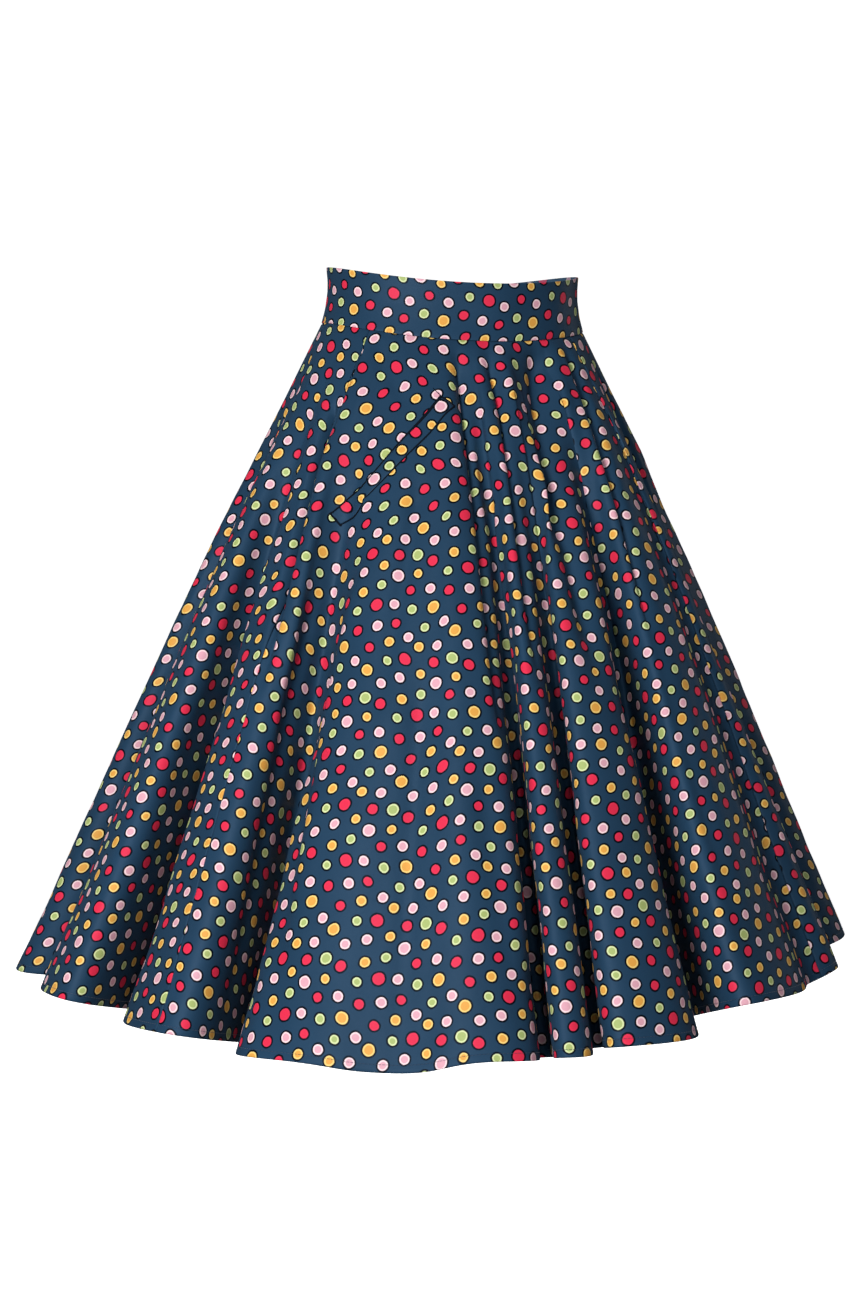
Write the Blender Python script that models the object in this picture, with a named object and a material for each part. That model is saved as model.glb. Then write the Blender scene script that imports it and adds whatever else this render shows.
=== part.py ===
"""A full-circle skirt in printed cotton sateen, filled out as it is worn.

Metres, +Z up. The front faces -Y and the wearer's left is +X.
The origin is the centre of the waistband's top edge.
"""
import bisect
import math

import bmesh
import bpy
from mathutils import Matrix, Vector
from mathutils.bvhtree import BVHTree

# Walls and gaps
CLOTH_WALL = 0.0018
BAND_WALL = 0.0022
TAPE_WALL = 0.0008
SEAM_GAP = 0.0003
WAIST_SEAM_GAP = 0.0009
ZIP_GAP = 0.0018

# Waistband, one row a level: how far below the top edge, the half axes of its
# oval, the sides' height over the mean, and the front and back against them.
BAND_SECTIONS = [
    # down,   half_width, half_depth, side_rise, front_drop, back_rise
    (0.0000,  0.1202,     0.0902,     0.0023,    0.0226,     -0.0012),
    (0.0120,  0.1192,     0.0894,     0.0028,    0.0228,     -0.0017),
    (0.0240,  0.1192,     0.0894,     0.0034,    0.0232,     -0.0023),
    (0.0400,  0.1212,     0.0909,     0.0043,    0.0238,     -0.0032),
    (0.0545,  0.1248,     0.0936,     0.0050,    0.0240,     -0.0039),
]
BAND_HOLLOW = 0.0020
BAND_HEIGHT = BAND_SECTIONS[-1][0]
BAND_STEP = math.radians(7.5)

# Skirt panels, by bearing on the flat circle of cloth, in degrees from the
# centre front: one front panel, and two back panels that meet at the zip.
SIDE_SEAM = 54.4
CENTRE_BACK = 180.0
HIP_BULGE = 0.080
CALM_HALF_WIDTH = 0.345
CALM_HALF_DEPTH = 0.325
SKIRT_RINGS = (0.0, 0.07, 0.15, 0.235, 0.36, 0.52, 0.70, 0.86, 1.0)
COLUMNS_A_STRETCH = 6
SEAM_MARGIN = 0.3
OUTLINE_STEPS = 48

# The hem, going round from the back by the wearer's right, one row a crest or
# valley: its bearing from the centre front, its distance from the axis, its
# height, how far the cloth runs on round there before it turns in or out, and
# the share of the way down at which the fold begins.
HEM_FOLDS = [
    # bearing, reach, height, round, start
    (-169.5, 0.268, -0.672, 0.18, 0.07),
    (-157.0, 0.395, -0.648, 0.22, 0.10),
    (-146.0, 0.252, -0.674, 0.18, 0.10),
    (-134.5, 0.402, -0.650, 0.24, 0.08),
    (-121.5, 0.262, -0.672, 0.20, 0.12),
    (-107.8, 0.414, -0.655, 0.26, 0.12),
    ( -99.6, 0.316, -0.664, 0.18, 0.15),
    ( -81.7, 0.392, -0.657, 0.34, 0.12),
    ( -89.7, 0.285, -0.686, 0.12, 0.22),
    ( -64.7, 0.343, -0.680, 0.30, 0.06),
    ( -70.1, 0.210, -0.708, 0.10, 0.27),
    ( -44.9, 0.321, -0.695, 0.22, 0.28),
    ( -25.0, 0.314, -0.702, 0.14, 0.30),
    (  -8.0, 0.327, -0.690, 0.17, 0.05),
    (   3.0, 0.240, -0.702, 0.07, 0.05),
    (   1.8, 0.336, -0.687, 0.11, 0.06),
    (  13.5, 0.256, -0.694, 0.08, 0.06),
    (  14.2, 0.344, -0.679, 0.28, 0.05),
    (  40.3, 0.237, -0.684, 0.12, 0.05),
    (  35.1, 0.349, -0.654, 0.24, 0.05),
    (  53.4, 0.340, -0.653, 0.07, 0.05),
    (  60.6, 0.361, -0.642, 0.11, 0.08),
    (  75.0, 0.275, -0.662, 0.18, 0.10),
    (  97.4, 0.420, -0.636, 0.24, 0.10),
    ( 108.0, 0.262, -0.668, 0.20, 0.12),
    ( 119.0, 0.398, -0.645, 0.22, 0.10),
    ( 130.0, 0.250, -0.670, 0.20, 0.08),
    ( 140.5, 0.386, -0.647, 0.22, 0.10),
    ( 152.0, 0.265, -0.672, 0.20, 0.10),
    ( 163.0, 0.400, -0.646, 0.20, 0.12),
    ( 172.5, 0.275, -0.672, 0.16, 0.07),
    ( 182.0, 0.376, -0.650, 0.25, 0.07),
]
FIRST_FOLD_FLAT = -168.0

# Box welt pocket on the wearer's right: its mouth runs from near the centre
# front down to the side seam. One row an end: flat bearing, share down.
POCKET_UPPER = (-18.75, 0.0875)
POCKET_LOWER = (-49.0, 0.2690)
WELT_WIDTH = 0.0125
WELT_WALL = 0.0012
WELT_CLEARANCE = 0.0013
WELT_COLUMNS = 24
WELT_ROWS = 4
BAG_DEPTH = 0.130
BAG_WALL = 0.0012
BAG_CLEARANCE = 0.0011
BAG_BEARING = -45.0
BAG_LEAN = 0.06
PROBE_REACH = 0.02
BAG_COLUMNS = 12
BAG_ROWS = 9

# Concealed zip down the centre back, from just under the top edge
ZIP_TOP = 0.004
ZIP_LENGTH = 0.200
TAPE_WIDTH = 0.011
TAPE_CLEARANCE = 0.0005
TAPE_DOWNS = (0.0, 0.008, 0.020, 0.036, 0.0508, 0.0735, 0.0961, 0.1222, 0.1482, 0.1742, 1.0)
SLIDER_DOWN = 0.0130
SLIDER_WIDTH = 0.0064
SLIDER_LENGTH = 0.0090
SLIDER_DEPTH = 0.0024
NECK_WIDTH = 0.0010
NECK_LENGTH = 0.0034
BAIL_INNER = 0.0012
BAIL_OUTER = 0.0022
BAIL_STANDOFF = 0.0006
TAB_LENGTH = 0.024
TAB_WIDTH = 0.0062
TAB_NECK_WIDTH = 0.0042
TAB_THICKNESS = 0.0010
EYE_WIDTH = 0.0019
EYE_BAR = 0.0006
EYE_LENGTH = 0.0021

# Colours, with roughness and metallic value
FINISHES = {
    "printed_sateen": ((0.023, 0.072, 0.130), 0.48, 0.0),
    "pocketing": ((0.020, 0.040, 0.075), 0.80, 0.0),
    "zip_tape": ((0.014, 0.035, 0.066), 0.75, 0.0),
    "painted_zip": ((0.018, 0.045, 0.082), 0.35, 0.4),
}


def clear_scene():
    for item in list(bpy.data.objects):
        bpy.data.objects.remove(item, do_unlink=True)


def finish_material(slot):
    """The Principled material of one slot."""
    colour, roughness, metallic = FINISHES[slot]
    material = bpy.data.materials.get(slot) or bpy.data.materials.new(slot)
    material.use_nodes = True
    shader = material.node_tree.nodes["Principled BSDF"]
    shader.inputs["Base Color"].default_value = (*colour, 1.0)
    shader.inputs["Roughness"].default_value = roughness
    shader.inputs["Metallic"].default_value = metallic
    material.diffuse_color = (*colour, 1.0)
    return material


def lengths_along(points):
    """Running length at each of a list of points, seen from above."""
    total = [0.0]
    for a, b in zip(points, points[1:]):
        total.append(total[-1] + (b - a).xy.length)
    return total


def blend_at(value, keys, results):
    """Result at a value, straight between the two nearest rising keys."""
    i = min(max(bisect.bisect_right(keys, value) - 1, 0), len(keys) - 2)
    share = (value - keys[i]) / (keys[i + 1] - keys[i])
    return results[i] + (results[i + 1] - results[i]) * share


def around(bearing, reach, height=0.0):
    """Point at a bearing in degrees from the centre front."""
    turn = math.radians(bearing)
    return Vector((reach * math.sin(turn), -reach * math.cos(turn), height))


def band_point(angle, down):
    """Point on the band's middle surface at an oval angle, so far below its top edge."""
    downs = [row[0] for row in BAND_SECTIONS]
    half_width, half_depth, side_rise, front_drop, back_rise = (
        blend_at(down, downs, [row[column] for row in BAND_SECTIONS]) for column in range(1, 6))
    ahead = math.cos(angle)
    height = (side_rise - down - (front_drop + back_rise) / 2.0 * ahead
              - (front_drop - back_rise) / 2.0 * ahead**2
              + BAND_HOLLOW * (ahead**3 - ahead))
    return Vector((half_width * math.sin(angle), -half_depth * ahead, height))


def waist_table():
    """Shares of the way round the waist seam from the centre back, and oval angles."""
    steps = 720
    angles = [math.pi * (2.0 * i / steps - 1.0) for i in range(steps + 1)]
    lengths = lengths_along([band_point(angle, BAND_HEIGHT) for angle in angles])
    return [length / lengths[-1] for length in lengths], angles, lengths[-1]


WAIST_SHARES, WAIST_ANGLES, WAIST_LENGTH = waist_table()


def hem_table():
    """The hem's points, and at each how far down its fold begins."""
    points = []
    starts = []
    for row, after in zip(HEM_FOLDS, HEM_FOLDS[1:] + HEM_FOLDS[:1]):
        here = around(row[0], row[1], row[2])
        there = around(after[0], after[1], after[2])
        leave = around(row[0] + 90.0, row[3])
        arrive = around(after[0] + 90.0, after[3])
        for step in range(OUTLINE_STEPS):
            t = step / OUTLINE_STEPS
            points.append(here * (2 * t**3 - 3 * t**2 + 1) + there * (3 * t**2 - 2 * t**3)
                          + leave * (t**3 - 2 * t**2 + t) + arrive * (t**3 - t**2))
            starts.append(row[4] + (after[4] - row[4]) * t)
    return points + points[:1], starts + starts[:1]


HEM_POINTS, HEM_STARTS = hem_table()
HEM_LENGTHS = lengths_along(HEM_POINTS)
HEM_LENGTH = HEM_LENGTHS[-1]
HEM_FLATS = [FIRST_FOLD_FLAT + 360.0 * length / HEM_LENGTH for length in HEM_LENGTHS]


def skirt_point(flat, down):
    """Point on the cloth's middle surface at a flat bearing and a share of the way down.

    A straight line of cloth joins the waist seam to the hem. Each fold's share
    of it grows from where the fold begins, and the hip rounds it out.
    """
    flat = (flat - FIRST_FOLD_FLAT) % 360.0 + FIRST_FOLD_FLAT
    angle = blend_at((flat + 180.0) / 360.0 % 1.0, WAIST_SHARES, WAIST_ANGLES)
    waist = band_point(angle, BAND_HEIGHT + WAIST_SEAM_GAP)
    hem = blend_at(flat, HEM_FLATS, HEM_POINTS)
    start = blend_at(flat, HEM_FLATS, HEM_STARTS)
    calm = Vector((CALM_HALF_WIDTH * math.sin(angle), -CALM_HALF_DEPTH * math.cos(angle), hem.z))
    outward = Vector((hem.x - waist.x, hem.y - waist.y, 0.0)).normalized()
    grown = max(down - start, 0.0) / (1.0 - start)
    return (waist + (calm - waist) * down + (hem - calm) * grown
            + outward * HIP_BULGE * down * (1.0 - down) ** 2)


def grid_mesh(name, columns, rows, place):
    """A quad grid whose point in a column and row lies where place(column, row) says."""
    mesh = bpy.data.meshes.new(name)
    bm = bmesh.new()
    bmesh.ops.create_grid(bm, x_segments=columns - 1, y_segments=rows - 1, size=1.0)
    for vert in bm.verts:
        column = round((vert.co.x + 1.0) / 2.0 * (columns - 1))
        row = round((vert.co.y + 1.0) / 2.0 * (rows - 1))
        vert.co = place(column, row)
    bmesh.ops.triangulate(bm, faces=bm.faces[:])
    bm.to_mesh(mesh)
    bm.free()
    return mesh


def add_object(name, mesh, slot, location=(0.0, 0.0, 0.0)):
    item = bpy.data.objects.new(name, mesh)
    item.location = location
    item.data.materials.append(finish_material(slot))
    mesh.shade_smooth()
    mesh.set_sharp_from_angle(angle=math.radians(50.0))
    bpy.context.scene.collection.objects.link(item)
    return item


def add_wall(item, thickness):
    """Give a surface its wall, half to each side."""
    wall = item.modifiers.new("wall", "SOLIDIFY")
    wall.thickness = thickness
    wall.offset = 0.0
    wall.use_rim = True
    return item


def panel_columns(first, last):
    """Flat bearings of a panel's columns: its edges, one just inside each, and the folds'."""
    folds = HEM_FLATS[:-1:OUTLINE_STEPS // COLUMNS_A_STRETCH]
    folds = sorted(folds + [flat + 360.0 for flat in folds])
    inside = [flat for flat in folds if first + 2 * SEAM_MARGIN < flat < last - 2 * SEAM_MARGIN]
    return [first, first + SEAM_MARGIN] + inside + [last - SEAM_MARGIN, last]


def skirt_panel(name, first, last, first_gap, last_gap):
    """One panel. Its edges stand half a gap inside the seams, gaps given by share down."""
    flats = panel_columns(first, last)

    def place(column, row):
        down = SKIRT_RINGS[row]
        flat = flats[column]
        arc_a_degree = (skirt_point(flat + 0.1, down) - skirt_point(flat - 0.1, down)).length / 0.2
        if column <= 1:
            flat += 0.5 * first_gap(down) / arc_a_degree
        if column >= len(flats) - 2:
            flat -= 0.5 * last_gap(down) / arc_a_degree
        return skirt_point(flat, down)

    mesh = grid_mesh(name, len(flats), len(SKIRT_RINGS), place)
    return add_wall(add_object(name, mesh, "printed_sateen"), CLOTH_WALL)


def slant_length():
    """Mean length of the cloth from the waist seam to the hem."""
    flats = range(-180, 180, 4)
    return sum((skirt_point(f, 1.0) - skirt_point(f, 0.0)).length for f in flats) / len(flats)


SLANT = slant_length()
ZIP_END = (ZIP_TOP + ZIP_LENGTH - BAND_HEIGHT) / SLANT


def side_gap(down):
    return SEAM_GAP


def back_gap(down):
    """The zip holds the centre back edges apart above its foot."""
    return ZIP_GAP if down <= ZIP_END + 0.01 else SEAM_GAP


def build_skirt():
    front = skirt_panel("front_panel", -SIDE_SEAM, SIDE_SEAM, side_gap, side_gap)
    skirt_panel("back_panel_left", SIDE_SEAM, CENTRE_BACK, side_gap, back_gap)
    skirt_panel("back_panel_right", CENTRE_BACK, 360.0 - SIDE_SEAM, back_gap, side_gap)
    return front


def band_piece(name, first, last, first_gap, last_gap):
    """A stretch of waistband between two oval angles in degrees."""
    start = math.radians(first)
    end = math.radians(last)
    count = math.ceil((end - start) / BAND_STEP)

    def place(column, row):
        angle = start + (end - start) * column / count
        down = BAND_SECTIONS[row][0]
        reach = band_point(angle, down).xy.length
        if column == 0:
            angle += 0.5 * first_gap / reach
        if column == count:
            angle -= 0.5 * last_gap / reach
        return band_point(angle, down)

    mesh = grid_mesh(name, count + 1, len(BAND_SECTIONS), place)
    return add_wall(add_object(name, mesh, "printed_sateen"), BAND_WALL)


def build_waistband():
    band_piece("waistband_front", -90.0, 90.0, SEAM_GAP, SEAM_GAP)
    band_piece("waistband_back_left", 90.0, 180.0, SEAM_GAP, ZIP_GAP)
    band_piece("waistband_back_right", 180.0, 270.0, ZIP_GAP, SEAM_GAP)


def facing_out(point_at, first, second):
    """Unit normal of a surface on the side away from the wearer."""
    small = 0.004
    along = point_at(first + small * 60.0, second) - point_at(first - small * 60.0, second)
    down = point_at(first, second + small) - point_at(first, second - small)
    return down.cross(along).normalized()


def ringed_point(flat, down):
    """Skirt point on the straight line between the two nearest rings."""
    upper = max(ring for ring in SKIRT_RINGS[:-1] if ring <= down)
    lower = min(ring for ring in SKIRT_RINGS if ring > upper)
    share = (down - upper) / (lower - upper)
    return skirt_point(flat, upper).lerp(skirt_point(flat, lower), share)


def off_panel(panel, flat, down, distance):
    """Point off a panel's middle surface, outward where the distance is positive."""
    out = facing_out(ringed_point, flat, down)
    start = ringed_point(flat, down) + out * PROBE_REACH
    found = panel.ray_cast(start, -out, 2.0 * PROBE_REACH)[0]
    return found + out * distance


def mouth_point(share, drop):
    """Flat bearing and share down of a place on the pocket.

    share runs from the mouth's upper end to its lower end, and drop is how
    far below the mouth's upper edge the place lies, in metres.
    """
    flat = POCKET_UPPER[0] + (POCKET_LOWER[0] - POCKET_UPPER[0]) * share
    down = POCKET_UPPER[1] + (POCKET_LOWER[1] - POCKET_UPPER[1]) * share
    across = skirt_point(flat, down)
    run = (skirt_point(POCKET_LOWER[0], POCKET_LOWER[1])
           - skirt_point(POCKET_UPPER[0], POCKET_UPPER[1])).normalized()
    degree = (skirt_point(flat + 0.5, down) - skirt_point(flat - 0.5, down))
    slant = (skirt_point(flat, down + 0.01) - across) / 0.01
    # Square to the mouth on the cloth, towards the hem and the centre front
    side = slant.normalized() - run * slant.normalized().dot(run)
    side.normalize()
    return (flat + side.dot(degree.normalized()) * drop / degree.length,
            down + side.dot(slant.normalized()) * drop / slant.length)


def build_pocket(front):
    panel = BVHTree.FromPolygons([vert.co for vert in front.data.vertices],
                                 [face.vertices for face in front.data.polygons])
    lift = CLOTH_WALL / 2.0 + WELT_CLEARANCE + WELT_WALL / 2.0

    def welt_place(column, row):
        drop = WELT_WIDTH * row / (WELT_ROWS - 1)
        flat, down = mouth_point(column / (WELT_COLUMNS - 1), drop)
        return off_panel(panel, flat, down, lift)

    mesh = grid_mesh("pocket_welt", WELT_COLUMNS, WELT_ROWS, welt_place)
    add_wall(add_object("pocket_welt", mesh, "printed_sateen"), WELT_WALL)

    sink = CLOTH_WALL / 2.0 + BAG_CLEARANCE + BAG_WALL / 2.0

    def bag_place(column, row):
        across = column / (BAG_COLUMNS - 1)
        # The bag's foot is round, so its outer columns are shorter
        rounding = math.sqrt(max(1.0 - (2.0 * across - 1.0) ** 2, 0.0))
        drop = BAG_DEPTH * (0.62 + 0.38 * rounding) * row / (BAG_ROWS - 1)
        flat, down = mouth_point(0.03 + 0.94 * across, 0.0)
        hung = off_panel(panel, flat, down, -sink)
        return hung + Vector((0.0, 0.0, -drop)) - around(BAG_BEARING, BAG_LEAN * drop)

    mesh = grid_mesh("pocket_bag", BAG_COLUMNS, BAG_ROWS, bag_place)
    add_wall(add_object("pocket_bag", mesh, "pocketing"), BAG_WALL)


def centre_back_point(down, across):
    """Point on the cloth's middle surface beside the centre back.

    down is metres below the top edge, and across metres towards the
    wearer's left.
    """
    if down <= BAND_HEIGHT:
        radian = (band_point(math.pi + 0.05, down) - band_point(math.pi - 0.05, down)).length / 0.1
        return band_point(math.pi - across / radian, down)
    share = (down - BAND_HEIGHT) / SLANT
    degree = (skirt_point(181.0, share) - skirt_point(179.0, share)).length / 2.0
    return ringed_point(180.0 - across / degree, share)


def zip_tape(name, side):
    """One tape of the zip, just inside the cloth, on one side of the gap."""
    inner = BAND_WALL / 2.0 + TAPE_CLEARANCE + TAPE_WALL / 2.0
    edges = (side * ZIP_GAP / 2.0, side * (ZIP_GAP / 2.0 + TAPE_WIDTH / 2.0),
             side * (ZIP_GAP / 2.0 + TAPE_WIDTH))
    downs = [ZIP_TOP + min(down, ZIP_LENGTH) for down in TAPE_DOWNS]

    def middle(row, column):
        return centre_back_point(downs[row], edges[column])

    def place(column, row):
        above = middle(max(row - 1, 0), column)
        below = middle(min(row + 1, len(downs) - 1), column)
        near = middle(row, 0)
        far = middle(row, 2)
        normal = (far - near).cross(below - above).normalized() * side
        if normal.y < 0.0:
            normal = -normal
        return middle(row, column) - normal * inner

    mesh = grid_mesh(name, 3, len(downs), place)
    return add_wall(add_object(name, mesh, "zip_tape"), TAPE_WALL)


def box_bmesh(low, high):
    """A bmesh box between two corners."""
    bm = bmesh.new()
    bmesh.ops.create_cube(bm, size=1.0)
    for vert in bm.verts:
        for axis in range(3):
            vert.co[axis] = low[axis] if vert.co[axis] < 0.0 else high[axis]
    return bm


def object_from_bmesh(name, bm, slot, location=(0.0, 0.0, 0.0)):
    mesh = bpy.data.meshes.new(name)
    bm.to_mesh(mesh)
    bm.free()
    return add_object(name, mesh, slot, location)


def as_tool(item):
    """Keep a shape only as something to join or cut with."""
    item.hide_render = True
    item.display_type = "WIRE"
    return item


def add_boolean(item, tool, operation):
    cut = item.modifiers.new(operation.lower(), "BOOLEAN")
    cut.operation = operation
    cut.object = tool
    cut.solver = "EXACT"


def bail_ring(name, centre):
    """Ring in the YZ plane that the pull tab hangs from."""
    bm = bmesh.new()
    ring = bmesh.ops.create_circle(bm, segments=20, radius=BAIL_INNER)["verts"]
    inner = [edge for edge in bm.edges if all(vert in ring for vert in edge.verts)]
    outer = bmesh.ops.extrude_edge_only(bm, edges=inner)["geom"]
    for vert in [part for part in outer if isinstance(part, bmesh.types.BMVert)]:
        vert.co *= BAIL_OUTER / BAIL_INNER
    flat = bmesh.ops.extrude_face_region(bm, geom=bm.faces[:])["geom"]
    lifted = [part for part in flat if isinstance(part, bmesh.types.BMVert)]
    bmesh.ops.translate(bm, verts=lifted, vec=(0.0, 0.0, NECK_WIDTH))
    bmesh.ops.translate(bm, verts=bm.verts[:], vec=(0.0, 0.0, -NECK_WIDTH / 2.0))
    bmesh.ops.rotate(bm, verts=bm.verts[:], matrix=Matrix.Rotation(math.pi / 2.0, 3, "Y"))
    bmesh.ops.recalc_face_normals(bm, faces=bm.faces[:])
    return object_from_bmesh(name, bm, "painted_zip", centre)


def build_zip():
    zip_tape("zip_tape_left", 1.0)
    zip_tape("zip_tape_right", -1.0)
    seat = band_point(math.pi, SLIDER_DOWN)
    behind_tape = seat.y - BAND_WALL / 2.0 - TAPE_CLEARANCE - TAPE_WALL - SEAM_GAP
    front_of_band = seat.y + BAND_WALL / 2.0
    hinge = Vector((0.0, front_of_band + BAIL_STANDOFF + BAIL_OUTER, seat.z))

    body = box_bmesh((-SLIDER_WIDTH / 2.0, behind_tape - SLIDER_DEPTH, seat.z - SLIDER_LENGTH / 2.0),
                     (SLIDER_WIDTH / 2.0, behind_tape, seat.z + SLIDER_LENGTH / 2.0))
    bmesh.ops.bevel(body, geom=body.edges[:], offset=0.0006, affect="EDGES", segments=2,
                    profile=0.5, material=-1)
    slider = object_from_bmesh("zip_slider", body, "painted_zip")
    neck = as_tool(object_from_bmesh("slider_neck", box_bmesh(
        (-NECK_WIDTH / 2.0, behind_tape - SLIDER_DEPTH / 2.0, seat.z - NECK_LENGTH / 2.0),
        (NECK_WIDTH / 2.0, hinge.y - (BAIL_INNER + BAIL_OUTER) / 2.0, seat.z + NECK_LENGTH / 2.0)),
        "painted_zip"))
    bail = as_tool(bail_ring("slider_bail", hinge))
    add_boolean(slider, neck, "UNION")
    add_boolean(slider, bail, "UNION")
    build_pull_tab(hinge)


def build_pull_tab(hinge):
    """Teardrop tab, hanging from the bail by the bar above its eye."""
    outline = [
        # down,                         half_width
        (-EYE_BAR,                      TAB_NECK_WIDTH / 2.0 - 0.0005),
        (-EYE_BAR + 0.0006,             TAB_NECK_WIDTH / 2.0),
        (EYE_BAR + EYE_LENGTH + 0.0010, TAB_NECK_WIDTH / 2.0),
        (TAB_LENGTH * 0.45,             TAB_WIDTH / 2.0 - 0.0006),
        (TAB_LENGTH * 0.72,             TAB_WIDTH / 2.0),
        (TAB_LENGTH * 0.88,             TAB_WIDTH / 2.0 - 0.0006),
        (TAB_LENGTH * 0.97,             TAB_WIDTH / 2.0 - 0.0017),
        (TAB_LENGTH,                    TAB_WIDTH / 2.0 - 0.0026),
    ]
    bm = bmesh.new()
    right = [bm.verts.new((half, 0.0, -down)) for down, half in outline]
    left = [bm.verts.new((-half, 0.0, -down)) for down, half in reversed(outline)]
    face = bm.faces.new(right + left)
    lifted = bmesh.ops.extrude_face_region(bm, geom=[face])["geom"]
    lifted = [part for part in lifted if isinstance(part, bmesh.types.BMVert)]
    bmesh.ops.translate(bm, verts=lifted, vec=(0.0, TAB_THICKNESS, 0.0))
    bmesh.ops.translate(bm, verts=bm.verts[:], vec=(0.0, -TAB_THICKNESS / 2.0, 0.0))
    bmesh.ops.recalc_face_normals(bm, faces=bm.faces[:])
    tab = object_from_bmesh("pull_tab", bm, "painted_zip", hinge)
    eye = as_tool(object_from_bmesh("pull_tab_eye", box_bmesh(
        (-EYE_WIDTH / 2.0, -TAB_THICKNESS, -EYE_BAR - EYE_LENGTH),
        (EYE_WIDTH / 2.0, TAB_THICKNESS, -EYE_BAR)), "painted_zip", hinge))
    add_boolean(tab, eye, "DIFFERENCE")


clear_scene()
build_waistband()
build_pocket(build_skirt())
build_zip()
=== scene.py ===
"""Looks of a full-circle skirt in printed cotton sateen, filled out as it is worn.

Metres, +Z up. The front faces -Y and the wearer's left is +X.
"""
import bisect
import math

import bmesh
import bpy
from mathutils import Matrix, Vector, noise


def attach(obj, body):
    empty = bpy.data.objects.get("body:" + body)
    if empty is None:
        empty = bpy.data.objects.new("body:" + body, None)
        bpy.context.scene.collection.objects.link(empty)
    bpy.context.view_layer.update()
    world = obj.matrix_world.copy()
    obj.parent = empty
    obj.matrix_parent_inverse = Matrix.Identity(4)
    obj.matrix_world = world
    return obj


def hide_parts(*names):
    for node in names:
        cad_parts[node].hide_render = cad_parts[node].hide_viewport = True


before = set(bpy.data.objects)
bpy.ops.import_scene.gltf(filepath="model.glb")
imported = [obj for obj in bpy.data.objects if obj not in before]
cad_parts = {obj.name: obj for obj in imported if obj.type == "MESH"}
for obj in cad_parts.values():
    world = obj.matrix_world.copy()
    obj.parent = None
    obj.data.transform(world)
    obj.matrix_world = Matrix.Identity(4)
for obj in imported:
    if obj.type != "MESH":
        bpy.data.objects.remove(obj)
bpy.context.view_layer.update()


# The waistband. Two layers of the printed sateen with stiffening between them,
# cut in one front and two back pieces, joined at the sides and turned over the
# top edge. It is drawn in a little between its edges, and dips at the front.

BAND_SECTIONS = [
    # down,   half_width, half_depth, side_rise, front_drop, back_rise
    (0.0000,  0.1202,     0.0902,     0.0023,    0.0226,     -0.0012),
    (0.0120,  0.1192,     0.0894,     0.0028,    0.0228,     -0.0017),
    (0.0240,  0.1192,     0.0894,     0.0034,    0.0232,     -0.0023),
    (0.0400,  0.1212,     0.0909,     0.0043,    0.0238,     -0.0032),
    (0.0545,  0.1248,     0.0936,     0.0050,    0.0240,     -0.0039),
]
BAND_HOLLOW = 0.0020
BAND_HEIGHT = BAND_SECTIONS[-1][0]
BAND_THICKNESS = 0.0011
BAND_ROWS = 14
BAND_COLUMN_DEGREES = 2.5
BAND_EDGE_ROUND = 0.0004
BAND_DENTS = 0.0009
BAND_WAVES = 0.0005
BAND_WAVE_RATE = 11.0
EDGE_ANGLE = math.radians(50.0)
SIDE_GAP = 0.0002
BACK_GAP = 0.00030
SLIDER_GAP = 0.00050
SLIDER_DOWN = 0.013
SLIDER_REACH = 0.007

# The print's repeat: one row a dot, across and up in the repeat and the dot's
# diameter, all in millimetres, and its colour.
PRINT_REPEAT = (0.088, 0.104)
PRINT_DOTS = [
    # across, up, diameter, colour
    ( 8.0,  8.0,  9.0, "pink"),
    (24.5,  4.5,  7.6, "coral"),
    (42.0, 11.0,  8.4, "green"),
    (60.5,  6.0, 10.4, "amber"),
    (78.0, 12.5,  8.2, "coral"),
    (12.5, 27.0, 10.2, "coral"),
    (27.5, 21.5,  8.6, "pink"),
    (45.5, 28.5,  7.6, "coral"),
    (63.0, 23.5,  8.8, "pink"),
    (82.5, 30.0,  7.6, "green"),
    ( 4.5, 44.0,  8.4, "amber"),
    (22.0, 42.5,  8.0, "green"),
    (38.5, 45.0, 10.4, "pink"),
    (57.0, 40.5,  7.6, "amber"),
    (72.5, 46.5,  9.0, "coral"),
    (10.5, 62.0,  8.6, "pink"),
    (29.5, 58.5,  7.8, "amber"),
    (45.0, 62.5,  8.6, "coral"),
    (61.5, 57.0, 10.0, "green"),
    (80.0, 63.5,  8.6, "pink"),
    ( 6.0, 79.5,  7.6, "green"),
    (22.5, 75.0, 10.0, "coral"),
    (39.0, 80.5,  8.4, "amber"),
    (54.5, 74.5,  8.6, "pink"),
    (73.0, 79.0, 10.2, "amber"),
    (14.5, 94.5,  8.4, "amber"),
    (32.5, 92.0,  8.6, "pink"),
    (48.5, 95.5,  7.6, "green"),
    (66.0, 92.0,  8.8, "pink"),
    (84.0, 96.0,  7.8, "coral"),
]
PRINT_COLOURS = {
    # the ink in the dot's middle, and the paler one round its rim
    "coral": ((216, 44, 72), (218, 48, 76)),
    "pink": ((216, 160, 173), (238, 208, 211)),
    "amber": ((220, 158, 70), (236, 200, 116)),
    "green": ((164, 178, 108), (206, 216, 160)),
}
CLOTH_GROUND = (31, 57, 80)
DOT_OUTLINE = (1, 3, 8)
WRONG_SIDE_COLOUR = (62, 86, 108)
SLUB_COLOUR = (10, 20, 34)
GLOSS_TINT = (170, 200, 235)
SHEEN_TINT = (176, 196, 216)
GROUND_UNEVEN = 0.10
OUTLINE_WIDTH = 0.0016
OUTLINE_BLEED = 0.2
RIM_WIDTH = 0.0013
RIM_BLEED = 0.25
DOT_EDGE = 0.00022
DOT_WANDER = 0.0011


def from_screen(colour):
    """A colour given as it shows on a screen, 0 to 255, as scene-linear red, green, blue, alpha."""
    shares = [part / 255.0 for part in colour]
    return (*[s / 12.92 if s <= 0.04045 else ((s + 0.055) / 1.055) ** 2.4 for s in shares], 1.0)


def shaded(colour, share):
    """A screen colour made darker or paler by a share of itself."""
    return from_screen([share * part for part in colour])


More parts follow.
